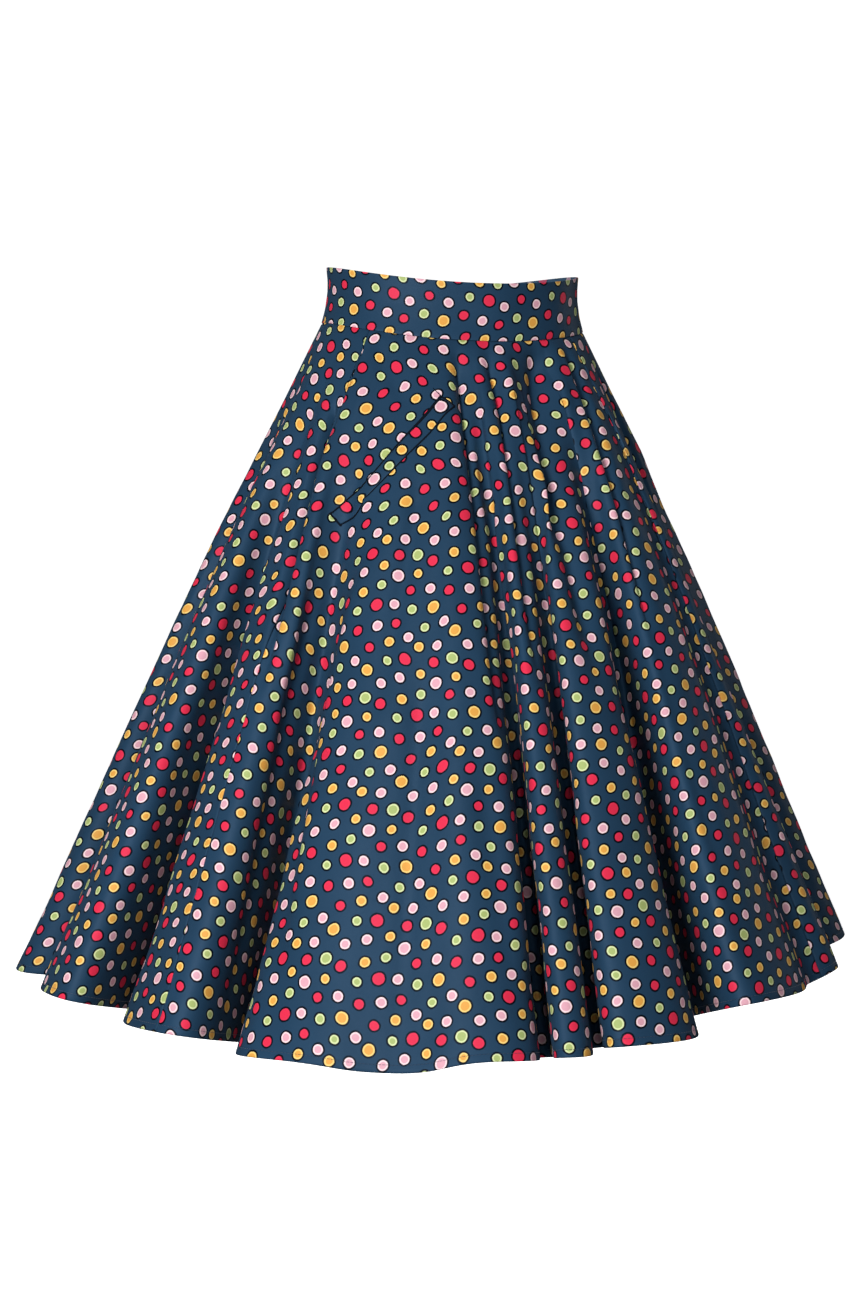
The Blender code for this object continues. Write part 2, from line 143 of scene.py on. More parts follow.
def blend_at(value, keys, results):
    """Result at a value, straight between the two nearest rising keys."""
    i = min(max(bisect.bisect_right(keys, value) - 1, 0), len(keys) - 2)
    share = (value - keys[i]) / (keys[i + 1] - keys[i])
    return results[i] + (results[i + 1] - results[i]) * share


def lengths_along(points):
    """Running length at each of a list of points."""
    total = [0.0]
    for a, b in zip(points, points[1:]):
        total.append(total[-1] + (b - a).length)
    return total


def band_point(angle, down):
    """Point on the band's middle surface at an oval angle, so far below its top edge."""
    downs = [row[0] for row in BAND_SECTIONS]
    half_width, half_depth, side_rise, front_drop, back_rise = (
        blend_at(down, downs, [row[column] for row in BAND_SECTIONS]) for column in range(1, 6))
    ahead = math.cos(angle)
    height = (side_rise - down - (front_drop + back_rise) / 2.0 * ahead
              - (front_drop - back_rise) / 2.0 * ahead**2
              + BAND_HOLLOW * (ahead**3 - ahead))
    return Vector((half_width * math.sin(angle), -half_depth * ahead, height))


def feed_node(tree, node, feeds):
    """Feeds each of a node's inputs a value or another node's output."""
    for place, feed in feeds.items():
        if isinstance(feed, bpy.types.NodeSocket):
            tree.links.new(feed, node.inputs[place])
        else:
            node.inputs[place].default_value = feed


def add_node(tree, kind, settings=None, feeds=None):
    """A shader node with its settings by name, and its inputs fed."""
    made = tree.nodes.new(kind)
    for key, value in (settings or {}).items():
        setattr(made, key, value)
    feed_node(tree, made, feeds or {})
    return made


def maths(tree, operation, first, second=0.0, third=0.0):
    made = add_node(tree, "ShaderNodeMath", {"operation": operation},
                    {0: first, 1: second, 2: third})
    return made.outputs[0]


def vector_maths(tree, operation, first, second=(0.0, 0.0, 0.0), third=(0.0, 0.0, 0.0)):
    made = add_node(tree, "ShaderNodeVectorMath", {"operation": operation},
                    {0: first, 1: second, 2: third})
    return made.outputs["Value" if operation == "LENGTH" else "Vector"]


def fade(tree, value, low, high):
    """0 at low to 1 at high, smoothly."""
    made = add_node(tree, "ShaderNodeMapRange", {"interpolation_type": "SMOOTHSTEP"},
                    {"Value": value, "From Min": low, "From Max": high})
    return made.outputs[0]


def mix_colour(tree, share, first, second):
    made = add_node(tree, "ShaderNodeMix", {"data_type": "RGBA"}, {0: share, 6: first, 7: second})
    return made.outputs[2]


def noise_at(tree, place, scale, detail=2.0):
    made = add_node(tree, "ShaderNodeTexNoise", {},
                    {"Vector": place, "Scale": scale, "Detail": detail})
    return made.outputs[0]


def threads(tree, place, direction, scale, distortion, detail=2.0):
    """Threads lying side by side, each a rounded ridge."""
    made = add_node(tree, "ShaderNodeTexWave", {"bands_direction": direction},
                    {"Vector": place, "Scale": scale, "Distortion": distortion, "Detail": detail})
    return made.outputs[1]


def bump(tree, height, strength, distance, beneath=None):
    """A surface raised by a height, on top of another bump where there is one."""
    feeds = {"Strength": strength, "Distance": distance, "Height": height}
    if beneath:
        feeds["Normal"] = beneath
    return add_node(tree, "ShaderNodeBump", {}, feeds).outputs[0]


def cloth_place(tree):
    """Place on the flat cloth, in metres."""
    return add_node(tree, "ShaderNodeUVMap", {"uv_map": "cloth"}).outputs[0]


def object_place(tree):
    return add_node(tree, "ShaderNodeTexCoord").outputs["Object"]


def new_material(name):
    """A material, its node tree and its Principled shader."""
    material = bpy.data.materials.new(name)
    material.use_nodes = True
    tree = material.node_tree
    return material, tree, tree.nodes["Principled BSDF"]


def dot_distances(tree, place):
    """For each of the print's colours, the distance outside its nearest dot's edge."""
    half = (PRINT_REPEAT[0] / 2.0, PRINT_REPEAT[1] / 2.0, 1.0)
    nearest = {}
    for across, up, diameter, colour in PRINT_DOTS:
        offset = vector_maths(tree, "SUBTRACT", place, (across / 1000.0, up / 1000.0, 0.0))
        wrapped = vector_maths(tree, "WRAP", offset, half, tuple(-side for side in half))
        reach = vector_maths(tree, "LENGTH", wrapped)
        outside = maths(tree, "SUBTRACT", reach, diameter / 2000.0)
        known = nearest.get(colour)
        nearest[colour] = maths(tree, "MINIMUM", known, outside) if known else outside
    return nearest


def print_colour(tree, place, ground):
    """The print's colour at a place on the cloth, in metres."""
    wander = add_node(tree, "ShaderNodeTexNoise", {}, {"Vector": place, "Scale": 190.0}).outputs[1]
    wander = vector_maths(tree, "SUBTRACT", wander, (0.5, 0.5, 0.5))
    wander = vector_maths(tree, "MULTIPLY", wander, (DOT_WANDER, DOT_WANDER, 0.0))
    inked = vector_maths(tree, "ADD", place, wander)
    nearest = dot_distances(tree, inked)
    closest = None
    for outside in nearest.values():
        closest = maths(tree, "MINIMUM", closest, outside) if closest else outside
    # The outline's ink bleeds a little into the ground
    outline = fade(tree, closest, OUTLINE_WIDTH * (1.0 + OUTLINE_BLEED),
                   OUTLINE_WIDTH * (1.0 - OUTLINE_BLEED))
    colour = mix_colour(tree, outline, ground, from_screen(DOT_OUTLINE))
    for name, outside in nearest.items():
        middle, paler = PRINT_COLOURS[name]
        rim = fade(tree, outside, -RIM_WIDTH * (1.0 + RIM_BLEED), -RIM_WIDTH * (1.0 - RIM_BLEED))
        dot = mix_colour(tree, rim, from_screen(middle), from_screen(paler))
        inside = fade(tree, outside, DOT_EDGE, -DOT_EDGE)
        colour = mix_colour(tree, inside, colour, dot)
    return colour


def sateen(name, roughness, gloss, sheen, faded):
    """One side of the printed sateen, its print faded by a share towards the wrong side's colour."""
    material, tree, shader = new_material(name)
    place = cloth_place(tree)
    cloudy = noise_at(tree, place, 9.0, 3.0)
    ground = mix_colour(tree, cloudy, shaded(CLOTH_GROUND, 1.0 - GROUND_UNEVEN),
                        shaded(CLOTH_GROUND, 1.0 + GROUND_UNEVEN))
    colour = print_colour(tree, place, ground)
    if faded:
        colour = mix_colour(tree, faded, colour, from_screen(WRONG_SIDE_COLOUR))
    slub = noise_at(tree, vector_maths(tree, "MULTIPLY", place, (260.0, 2600.0, 1.0)), 1.0)
    colour = mix_colour(tree, maths(tree, "MULTIPLY", slub, 0.16), colour, from_screen(SLUB_COLOUR))
    rough = maths(tree, "MULTIPLY_ADD", cloudy, 0.10, roughness)
    # The nap takes the gloss off where the cloth turns away
    aslant = add_node(tree, "ShaderNodeLayerWeight", {}, {"Blend": 0.5}).outputs["Facing"]
    rough = maths(tree, "MULTIPLY_ADD", fade(tree, aslant, 0.45, 0.95), 0.55, rough)
    # Floats of the satin weave lie along the warp, four over and one under
    weft = threads(tree, place, "Y", 620.0, 1.2, 1.0)
    warp = threads(tree, place, "X", 980.0, 0.6, 1.0)
    weave = maths(tree, "MULTIPLY_ADD", weft, 0.45, maths(tree, "MULTIPLY", warp, 0.55))
    fine = bump(tree, weave, 0.25, 0.00012)
    feed_node(tree, shader, {
        "Base Color": colour,
        "Roughness": rough,
        "Specular IOR Level": gloss,
        "Specular Tint": from_screen(GLOSS_TINT),
        "Sheen Weight": sheen,
        "Sheen Roughness": 0.42,
        "Sheen Tint": from_screen(SHEEN_TINT),
        "Normal": bump(tree, noise_at(tree, place, 70.0, 3.0), 0.30, 0.0009, fine),
    })
    return material


sateen_face = sateen("sateen_right_side", roughness=0.41, gloss=0.14, sheen=0.03, faded=0.0)
sateen_back = sateen("sateen_wrong_side", roughness=0.65, gloss=0.08, sheen=0.06, faded=0.55)
sateen_sides = [sateen_face, sateen_back]


def mesh_from(name, bm):
    mesh = bpy.data.meshes.new(name)
    bm.to_mesh(mesh)
    bm.free()
    return mesh


def cloth_grid(name, points, coords):
    """A mesh grid through rows of points, its cloth coordinates kept as a UV map."""
    rows = len(points)
    columns = len(points[0])
    bm = bmesh.new()
    bmesh.ops.create_grid(bm, x_segments=columns - 1, y_segments=rows - 1, size=1.0)
    bmesh.ops.reverse_faces(bm, faces=bm.faces[:])
    where = {}
    for vert in bm.verts:
        column = round((vert.co.x + 1.0) / 2.0 * (columns - 1))
        row = round((vert.co.y + 1.0) / 2.0 * (rows - 1))
        where[vert] = (row, column)
        vert.co = points[row][column]
    layer = bm.loops.layers.uv.new("cloth")
    for face in bm.faces:
        face.smooth = True
        for loop in face.loops:
            row, column = where[loop.vert]
            loop[layer].uv = coords[row][column]
    return mesh_from(name, bm)


def link_piece(name, mesh, materials):
    item = bpy.data.objects.new(name, mesh)
    for material in materials:
        mesh.materials.append(material)
    bpy.context.scene.collection.objects.link(item)
    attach(item, "skirt")
    return item


def add_thickness(item, thickness, edge_round=0.0):
    """A wall half to each side of the grid, its wrong side in the second material."""
    wall = item.modifiers.new("wall", "SOLIDIFY")
    wall.thickness = thickness
    wall.offset = 0.0
    wall.material_offset = 1
    wall.use_rim = True
    if edge_round:
        edge = item.modifiers.new("edge", "BEVEL")
        edge.width = edge_round
        edge.segments = 2
        edge.limit_method = "ANGLE"
        edge.angle_limit = EDGE_ANGLE


def cloth_piece(node, points, coords, materials, thickness, edge_round=0.0):
    """A wall of cloth through a grid of points, which stands for a node."""
    name = node + "_cloth"
    item = link_piece(name, cloth_grid(name, points, coords), materials)
    add_thickness(item, thickness, edge_round)
    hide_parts(node)
    return item


def band_gap(down):
    """Half the gap at the centre back: widest at the zip's slider."""
    return BACK_GAP + SLIDER_GAP * math.exp(-((down - SLIDER_DOWN) / SLIDER_REACH) ** 2)


def band_piece(node, first, last, gaps, shift):
    """A stretch of waistband between two oval angles, with half a gap at each end."""
    start = math.radians(first)
    end = math.radians(last)
    count = round((last - first) / BAND_COLUMN_DEGREES)
    points = []
    coords = []
    for row in range(BAND_ROWS + 1):
        down = BAND_HEIGHT * row / BAND_ROWS
        line = []
        for column in range(count + 1):
            angle = start + (end - start) * column / count
            reach = band_point(angle, down).xy.length
            if column == 0:
                angle += gaps[0](down) / reach
            if column == count:
                angle -= gaps[1](down) / reach
            point = band_point(angle, down)
            # Small dents and waves, none of them at the piece's edges
            inside = math.sin(math.pi * row / BAND_ROWS)
            ripple = BAND_DENTS * noise.noise(Vector((angle * 3.0, down * 40.0, 4.0)))
            ripple += BAND_WAVES * math.sin(angle * BAND_WAVE_RATE) * inside
            inside *= math.sin(math.pi * column / count)
            line.append(point + Vector((point.x, point.y, 0.0)).normalized() * ripple * inside)
        points.append(line)
        run = lengths_along(line)
        coords.append([(shift[0] + length, shift[1] - down) for length in run])
    item = cloth_piece(node, points, coords, sateen_sides, BAND_THICKNESS,
                       BAND_EDGE_ROUND)
    return item


def side_gap(down):
    return SIDE_GAP


band_front = band_piece("waistband_front", -90.0, 90.0, (side_gap, side_gap), (0.013, 0.0435))
band_left = band_piece("waistband_back_left", 90.0, 180.0, (side_gap, band_gap), (0.051, 0.0265))
band_right = band_piece("waistband_back_right", 180.0, 270.0, (band_gap, side_gap), (0.029, 0.061))


# The skirt. Three sectors of a flat circle of the printed sateen, one in front
# and two behind, seamed at the sides and centre back. The circle falls in folds
# that open towards the hem, which is turned up narrowly and stitched by machine.

WAIST_SEAM_DROP = 0.0006
SIDE_SEAM = 54.4
HIP_BULGE = 0.080
CALM_HALF_WIDTH = 0.345
CALM_HALF_DEPTH = 0.325
OUTLINE_STEPS = 48
FOLD_EASE = 0.06
FOLDS_OPEN_BY = 0.08
HEM_FOLDS = [
    # bearing, reach, height, round, start
    (-169.5, 0.268, -0.672, 0.18, 0.07),
    (-157.0, 0.395, -0.648, 0.22, 0.10),
    (-146.0, 0.252, -0.674, 0.18, 0.10),
    (-134.5, 0.402, -0.650, 0.24, 0.08),
    (-121.5, 0.262, -0.672, 0.20, 0.12),
    (-107.8, 0.414, -0.655, 0.26, 0.12),
    ( -99.6, 0.316, -0.664, 0.18, 0.15),
    ( -81.7, 0.392, -0.657, 0.34, 0.12),
    ( -89.7, 0.285, -0.686, 0.12, 0.22),
    ( -64.7, 0.343, -0.680, 0.30, 0.06),
    ( -70.1, 0.210, -0.708, 0.10, 0.27),
    ( -44.9, 0.321, -0.695, 0.22, 0.28),
    ( -25.0, 0.314, -0.702, 0.14, 0.30),
    (  -8.0, 0.327, -0.690, 0.17, 0.05),
    (   3.0, 0.240, -0.702, 0.07, 0.05),
    (   1.8, 0.336, -0.687, 0.11, 0.06),
    (  13.5, 0.256, -0.694, 0.08, 0.06),
    (  14.2, 0.344, -0.679, 0.28, 0.05),
    (  40.3, 0.237, -0.684, 0.12, 0.05),
    (  35.1, 0.349, -0.654, 0.24, 0.05),
    (  53.4, 0.340, -0.653, 0.07, 0.05),
    (  60.6, 0.361, -0.642, 0.11, 0.08),
    (  75.0, 0.275, -0.662, 0.18, 0.10),
    (  97.4, 0.420, -0.636, 0.24, 0.10),
    ( 108.0, 0.262, -0.668, 0.20, 0.12),
    ( 119.0, 0.398, -0.645, 0.22, 0.10),
    ( 130.0, 0.250, -0.670, 0.20, 0.08),
    ( 140.5, 0.386, -0.647, 0.22, 0.10),
    ( 152.0, 0.265, -0.672, 0.20, 0.10),
    ( 163.0, 0.400, -0.646, 0.20, 0.12),
    ( 172.5, 0.275, -0.672, 0.16, 0.07),
    ( 182.0, 0.376, -0.650, 0.25, 0.07),
]
FIRST_FOLD_FLAT = -168.0


def around(bearing, reach, height=0.0):
    """Point at a bearing in degrees from the centre front."""
    turn = math.radians(bearing)
    return Vector((reach * math.sin(turn), -reach * math.cos(turn), height))


def level_lengths(points):
    """Running length at each of a list of points, seen from above."""
    return lengths_along([Vector((point.x, point.y, 0.0)) for point in points])


def waist_table():
    """Shares of the way round the waist seam from the centre back, oval angles, and its length."""
    steps = 720
    angles = [math.pi * (2.0 * i / steps - 1.0) for i in range(steps + 1)]
    lengths = level_lengths([band_point(angle, BAND_HEIGHT) for angle in angles])
    return [length / lengths[-1] for length in lengths], angles, lengths[-1]


WAIST_SHARES, WAIST_ANGLES, WAIST_LENGTH = waist_table()
WAIST_RADIUS = WAIST_LENGTH / (2.0 * math.pi)


def hem_table():
    """The hem's points, and at each how far down its fold begins."""
    points = []
    starts = []
    for row, after in zip(HEM_FOLDS, HEM_FOLDS[1:] + HEM_FOLDS[:1]):
        here = around(row[0], row[1], row[2])
        there = around(after[0], after[1], after[2])
        leave = around(row[0] + 90.0, row[3])
        arrive = around(after[0] + 90.0, after[3])
        for step in range(OUTLINE_STEPS):
            t = step / OUTLINE_STEPS
            points.append(here * (2 * t**3 - 3 * t**2 + 1) + there * (3 * t**2 - 2 * t**3)
                          + leave * (t**3 - 2 * t**2 + t) + arrive * (t**3 - t**2))
            starts.append(row[4] + (after[4] - row[4]) * t)
    return points + points[:1], starts + starts[:1]


HEM_POINTS, HEM_STARTS = hem_table()
HEM_LENGTHS = level_lengths(HEM_POINTS)
HEM_FLATS = [FIRST_FOLD_FLAT + 360.0 * length / HEM_LENGTHS[-1] for length in HEM_LENGTHS]


def skirt_point(flat, down):
    """Point on the cloth's middle surface at a flat bearing and a share of the way down."""
    flat = (flat - FIRST_FOLD_FLAT) % 360.0 + FIRST_FOLD_FLAT
    angle = blend_at((flat + 180.0) / 360.0 % 1.0, WAIST_SHARES, WAIST_ANGLES)
    waist = band_point(angle, BAND_HEIGHT)
    waist.z -= WAIST_SEAM_DROP
    hem = blend_at(flat, HEM_FLATS, HEM_POINTS)
    start = blend_at(flat, HEM_FLATS, HEM_STARTS)
    calm = Vector((CALM_HALF_WIDTH * math.sin(angle), -CALM_HALF_DEPTH * math.cos(angle), hem.z))
    outward = Vector((hem.x - waist.x, hem.y - waist.y, 0.0)).normalized()
    # Each fold comes in softly where it begins
    gone = down - start
    eased = (gone + math.sqrt(gone * gone + FOLD_EASE * FOLD_EASE)) / 2.0
    full = 1.0 - start
    grown = eased / ((full + math.sqrt(full * full + FOLD_EASE * FOLD_EASE)) / 2.0)
    grown *= min(down / FOLDS_OPEN_BY, 1.0)
    return (waist + (calm - waist) * down + (hem - calm) * grown
            + outward * HIP_BULGE * down * (1.0 - down) ** 2)


def slant_length():
    flats = range(-180, 180, 4)
    return sum((skirt_point(f, 1.0) - skirt_point(f, 0.0)).length for f in flats) / len(flats)


SLANT = slant_length()


def way_round(flat, down, half=0.15):
    """A short run round the cloth, so many degrees to each side."""
    return skirt_point(flat + half, down) - skirt_point(flat - half, down)


def degree_length(flat, down):
    return way_round(flat, down, 0.1).length / 0.2


def facing_out(flat, down):
    """Unit normal of the cloth on the side away from the wearer."""
    step = 0.002
    fall = skirt_point(flat, down + step) - skirt_point(flat, down - step)
    return fall.cross(way_round(flat, down)).normalized()


def on_flat(flat, down):
    """Place on the flat circle of cloth, in metres from its centre."""
    turn = math.radians(flat)
    radius = WAIST_RADIUS + SLANT * down
    return Vector((radius * math.sin(turn), -radius * math.cos(turn)))


CREASES = [
    # from flat, down, to flat, down, half_width, height, lap: soft ridges, and troughs below
    # zero, and how far the cloth beside a trough is drawn over it: from the larger bearings'
    # side, or below zero from the smaller bearings' side
    ( -54.0, 0.012,  -31.0, 0.105, 0.0065, -0.0022,  0.0000),
    ( -44.0, 0.008,  -24.0, 0.080, 0.0080,  0.0014,  0.0000),
    ( -47.0, 0.020,  -50.0, 0.150, 0.0060,  0.0012,  0.0000),
    ( -57.4, 0.110,  -53.4, 0.510, 0.0048, -0.0170,  0.0032),
    ( -54.4, 0.150,  -50.4, 0.620, 0.0070,  0.0038,  0.0000),
    ( -62.5, 0.080,  -61.0, 0.560, 0.0130,  0.0034,  0.0000),
    ( -48.0, 0.360,  -48.6, 1.000, 0.0110, -0.0046,  0.0000),
    ( -12.2, 0.008,  -11.4, 0.560, 0.0085, -0.0130, -0.0040),
    (  -7.6, 0.020,   -6.0, 0.300, 0.0120, -0.0035,  0.0000),
    ( -17.5, 0.100,  -15.8, 1.000, 0.0150,  0.0026,  0.0000),
    (  -4.0, 0.016,   -3.4, 0.520, 0.0075,  0.0030,  0.0000),
    (   2.8, 0.008,    3.8, 0.500, 0.0085, -0.0125, -0.0036),
    (  10.6, 0.014,   10.4, 0.400, 0.0085,  0.0044,  0.0000),
    (  20.0, 0.008,   14.0, 0.340, 0.0130, -0.0060,  0.0000),
    (  33.0, 0.004,   19.0, 0.300, 0.0180, -0.0185,  0.0024),
    (  20.4, 0.180,   21.0, 0.520, 0.0130, -0.0120, -0.0020),
    (  36.0, 0.016,   35.0, 0.480, 0.0130,  0.0075,  0.0000),
    (  47.6, 0.010,   43.4, 0.440, 0.0062, -0.0085, -0.0028),
    ( -24.4, 0.200,  -26.0, 0.560, 0.0110, -0.0038,  0.0000),
    ( -39.0, 0.460,  -29.0, 1.000, 0.0130, -0.0050,  0.0000),
    ( -34.0, 0.300,  -36.0, 0.900, 0.0170,  0.0042,  0.0000),
    ( -41.0, 0.560,  -41.4, 1.000, 0.0120, -0.0036,  0.0000),
    ( -21.0, 0.480,  -20.5, 1.000, 0.0100, -0.0030,  0.0000),
    ( -14.2, 0.620,  -12.6, 1.000, 0.0110, -0.0032,  0.0000),
    (  26.0, 0.400,   27.0, 1.000, 0.0180, -0.0030,  0.0000),
    (  43.0, 0.250,   44.0, 1.000, 0.0110, -0.0045,  0.0000),
    (  49.0, 0.300,   49.0, 1.000, 0.0080,  0.0020,  0.0000),
    ( -75.0, 0.100,  -76.0, 1.000, 0.0200,  0.0030,  0.0000),
    ( -88.0, 0.040,  -84.0, 0.420, 0.0090, -0.0040,  0.0000),
    ( -97.0, 0.200,  -95.0, 1.000, 0.0180, -0.0030,  0.0000),
    (-104.0, 0.020, -104.0, 0.500, 0.0070, -0.0046,  0.0025),
    (-108.0, 0.100, -110.0, 0.850, 0.0140,  0.0026,  0.0000),
    (-121.0, 0.016, -123.0, 0.460, 0.0064, -0.0050,  0.0030),
    (-128.0, 0.250, -127.0, 1.000, 0.0150, -0.0026,  0.0000),
    (-141.0, 0.012, -139.0, 0.540, 0.0070, -0.0052, -0.0030),
    (-149.0, 0.100, -150.0, 0.750, 0.0140,  0.0024,  0.0000),
    (-158.0, 0.020, -156.0, 0.380, 0.0080, -0.0040,  0.0000),
    (-163.0, 0.300, -161.0, 1.000, 0.0150,  0.0024,  0.0000),
    (  62.0, 0.150,   61.0, 1.000, 0.0140,  0.0026,  0.0000),
    (  70.0, 0.020,   73.0, 0.520, 0.0070, -0.0050, -0.0025),
    (  78.0, 0.200,   76.0, 1.000, 0.0200, -0.0030,  0.0000),
    (  90.0, 0.150,   89.0, 1.000, 0.0150,  0.0030,  0.0000),
    ( 101.0, 0.014,  104.0, 0.440, 0.0066, -0.0052,  0.0030),
    ( 110.0, 0.250,  112.0, 1.000, 0.0140, -0.0024,  0.0000),
    ( 122.0, 0.020,  120.0, 0.560, 0.0080, -0.0048, -0.0025),
    ( 127.0, 0.120,  129.0, 0.800, 0.0150,  0.0024,  0.0000),
    ( 137.0, 0.012,  139.0, 0.360, 0.0060, -0.0044,  0.0000),
    ( 143.0, 0.200,  141.0, 1.000, 0.0140,  0.0026,  0.0000),
    ( 155.0, 0.018,  153.0, 0.500, 0.0075, -0.0052,  0.0030),
    ( 166.0, 0.150,  165.0, 1.000, 0.0160, -0.0024,  0.0000),
]
CREASE_REACH = 9.0
CREASE_BEGINS = 0.12
CREASE_FADES = 0.4
BROAD_UNEVEN = 0.0015
SMALL_UNEVEN = 0.0005


def crease_lines():
    """The creases' ends on the flat cloth, their measures, and the bearings that they reach."""
    return [(on_flat(row[0], row[1]), on_flat(row[2], row[3]), row[4], row[5], row[6],
             min(row[0], row[2]) - CREASE_REACH, max(row[0], row[2]) + CREASE_REACH)
            for row in CREASES]


CREASE_LINES = crease_lines()


def relief(flat, down):
    """How far the cloth stands out of its fold here, and how far it is drawn along, in creases."""
    place = on_flat(flat, down)
    bearing = (flat + 180.0) % 360.0 - 180.0
    total = 0.0
    drawn = 0.0
    for begin, end, half_width, height, lap, lowest, highest in CREASE_LINES:
        if not lowest < bearing < highest:
            continue
        line = end - begin
        share = (place - begin).dot(line) / line.length_squared
        if -0.1 < share < 1.1:
            off = (place - begin).cross(line) / line.length
            if abs(off) < 3.0 * half_width:
                held = min(max(share / CREASE_BEGINS, 0.0), 1.0)
                held *= min(max((1.05 - share) / CREASE_FADES, 0.0), 1.0)
                total += height * held * math.exp(-(off / half_width) ** 2)
                # The lip beside the trough comes over it
                beside = (off + math.copysign(half_width, lap)) / half_width
                drawn -= lap * held * math.exp(-beside ** 2)
    broad = noise.noise(Vector((place.x * 14.0, place.y * 14.0, 1.5)))
    small = noise.noise(Vector((place.x * 45.0, place.y * 45.0, 7.5)))
    uneven = BROAD_UNEVEN * broad + SMALL_UNEVEN * small
    return total + uneven * min(max(down, 0.0) * 8.0, 1.0), drawn


def creased_point(flat, down, above=0.0):
    """Point on the creased cloth's middle surface, or above it by so much."""
    out = facing_out(flat, down)
    lift, drawn = relief(flat, down)
    point = skirt_point(flat, down) + out * (lift + above)
    if drawn:
        point += way_round(flat, down).normalized() * drawn
    return point


CLOTH_THICKNESS = 0.0005
SEAM_TURN = [
    # in from the seam, below the right side: a pressed-open seam's turned edge
    (0.0110, 0.0013),
    (0.0060, 0.0013),
    (0.0012, 0.0012),
    (0.0000, 0.0006),
    (0.0005, 0.0001),
    (0.0020, 0.0000),
]
WAIST_TURN = [
    # above the waist seam, below the right side: the edge sewn in behind the band
    ( 0.0055, 0.0014),
    ( 0.0014, 0.0011),
    (-0.0002, 0.0005),
    (-0.0014, 0.0000),
]
HEM_TURN = [
    # up from the hem's edge, below the right side: the turned and stitched hem
    (0.0060, 0.0002),
    (0.0035, 0.0000),
    (0.0006, 0.0001),
    (0.0000, 0.0005),
    (0.0006, 0.0010),
    (0.0035, 0.0011),
    (0.0072, 0.0010),
]
HEM_ROWS_FROM = 1.0 - 0.0095 / SLANT
ROW_STEP = 0.0145
FINE_ROW_STEP = 0.0055
POCKET_ROWS = (0.06, 0.31)
NO_FINE_ROWS = (1.0, 1.0)
COLUMN_DEGREES = 0.45
FINE_COLUMN_DEGREES = 0.24
FINE_COLUMNS = (-59.0, -51.0)
PRINT_EVENNESS = 0.75
SEAM_GAP = 0.00012
ZIP_SHARE = 0.24


def panel_downs(fine_from, fine_to):
    """Shares down of a panel's rows, closer together over one stretch."""
    downs = [0.0]
    while downs[-1] < HEM_ROWS_FROM:
        step = FINE_ROW_STEP if fine_from < downs[-1] < fine_to else ROW_STEP
        downs.append(min(downs[-1] + step, HEM_ROWS_FROM))
    return ([(-under / SLANT, sink) for under, sink in WAIST_TURN] + [(down, 0.0) for down in downs[1:]]
            + [(1.0 - up / SLANT, sink) for up, sink in HEM_TURN])


def panel_piece(node, first, last, first_gap, last_gap, shift, fine_rows=NO_FINE_ROWS):
    """One panel of the skirt between two flat bearings, with its hem and seams turned in."""
    inner = [first + COLUMN_DEGREES]
    while inner[-1] < last - 1.5 * COLUMN_DEGREES:
        close = FINE_COLUMNS[0] < (inner[-1] + 180.0) % 360.0 - 180.0 < FINE_COLUMNS[1]
        inner.append(inner[-1] + (FINE_COLUMN_DEGREES if close else COLUMN_DEGREES))
    columns = [(first, 1.0, inset, sink) for inset, sink in SEAM_TURN]
    columns += [(flat, 0.0, 0.0, 0.0) for flat in inner]
    columns += [(last, -1.0, inset, sink) for inset, sink in reversed(SEAM_TURN)]
    downs = panel_downs(*fine_rows)
    points = []
    coords = []
    for down, hem_sink in downs:
        line = []
        arc = [0.0]
        whole = None
        for flat, side, inset, sink in columns:
            gap = first_gap(down) if side > 0.0 else last_gap(down) if side < 0.0 else 0.0
            here = flat + side * (inset + gap) / degree_length(flat, down)
            point = creased_point(here, down, -max(sink, hem_sink))
            if whole is not None:
                arc.append(arc[-1] + (point - whole).length)
            whole = point
            line.append(point)
        points.append(line)
        # The print lies on the flat cloth, and its dots stay round on the folds
        begin = arc[len(SEAM_TURN) - 3]
        end = arc[-(len(SEAM_TURN) - 2)]
        radius = WAIST_RADIUS + SLANT * down
        whole_turn = math.radians(last - first)
        even = ((end - begin) / (radius * whole_turn)) ** PRINT_EVENNESS
        across = []
        for length in arc:
            turn = ((length - begin) / (end - begin) - 0.5) * whole_turn * even
            across.append((shift[0] + radius * math.sin(turn), shift[1] - radius * math.cos(turn)))
        coords.append(across)
    item = cloth_piece(node, points, coords, sateen_sides, CLOTH_THICKNESS)
    return item


def seam_gap(down):
    return SEAM_GAP


def zip_gap(down):
    return BACK_GAP if down < ZIP_SHARE else SEAM_GAP


front_cloth = panel_piece("front_panel", -SIDE_SEAM, SIDE_SEAM, seam_gap, seam_gap, (0.011, 0.034),
                          POCKET_ROWS)
panel_piece("back_panel_left", SIDE_SEAM, 180.0, seam_gap, zip_gap, (0.047, 0.012))
panel_piece("back_panel_right", 180.0, 360.0 - SIDE_SEAM, zip_gap, seam_gap, (0.023, 0.068))


# The machine stitching that holds the hem's turn: navy thread, one stitch a
# short stretch, a little above the edge, on all three panels.

STITCH_UP = 0.0064
STITCH_PITCH = 0.0033
STITCH_LENGTH = 0.0023
STITCH_RADIUS = 0.00019
THREAD_COLOUR = (16, 30, 48)


def thread_material():
    material, tree, shader = new_material("navy_thread")
    uneven = noise_at(tree, object_place(tree), 900.0)
    colour = mix_colour(tree, uneven, from_screen(THREAD_COLOUR), shaded(THREAD_COLOUR, 1.7))
    feed_node(tree, shader, {"Base Color": colour, "Roughness": 0.55, "Sheen Weight": 0.2,
                             "Normal": bump(tree, uneven, 0.4, 0.0001)})
    return material


navy_thread = thread_material()


def add_stitch(bm, begin, end):
    """A short straight thread between two points, four-sided."""
    run = end - begin
    turn = run.to_track_quat("Z", "Y").to_matrix().to_4x4()
    turn.translation = (begin + end) / 2.0
    bmesh.ops.create_cone(bm, cap_ends=True, segments=4, radius1=STITCH_RADIUS,
                          radius2=STITCH_RADIUS, depth=run.length, matrix=turn)


